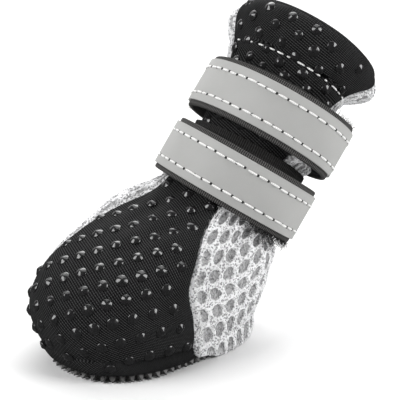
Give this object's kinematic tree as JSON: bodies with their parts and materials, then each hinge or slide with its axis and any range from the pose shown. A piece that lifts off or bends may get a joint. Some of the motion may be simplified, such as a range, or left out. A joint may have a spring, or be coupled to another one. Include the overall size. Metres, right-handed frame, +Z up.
{
  "type": "dog boot",
  "caption": "Soft dog boot with a hollow mesh upper, dotted grip panel over the front, lugged rubber sole and strap loops with reflective tape.",
  "frame": {"origin": "on the floor under the middle of the boot's box", "axes": "+X to the toe, +Y to the boot's left side, +Z up"},
  "size_m": [0.0952, 0.0532, 0.0879],
  "materials": {
    "sole_rubber": "matt moulded rubber",
    "insole_board": "dark felted board",
    "spacer_mesh": "white knitted spacer mesh with open cells",
    "grip_fabric": "black ribbed knit with glossy rubber dots",
    "fastener_band": "fuzzy loop fastener",
    "webbing": "dark grey ribbed webbing",
    "reflective_tape": "satin grey reflective tape"
  },
  "bodies": {
    "root": {"outsole": "sole_rubber", "insole": "insole_board", "upper": "spacer_mesh", "front_panel": "grip_fabric", "base_lower": "fastener_band", "base_upper": "fastener_band", "strap_lower": "webbing", "strap_upper": "webbing", "tape_lower": "reflective_tape", "tape_upper": "reflective_tape"}
  },
  "joints": []
}
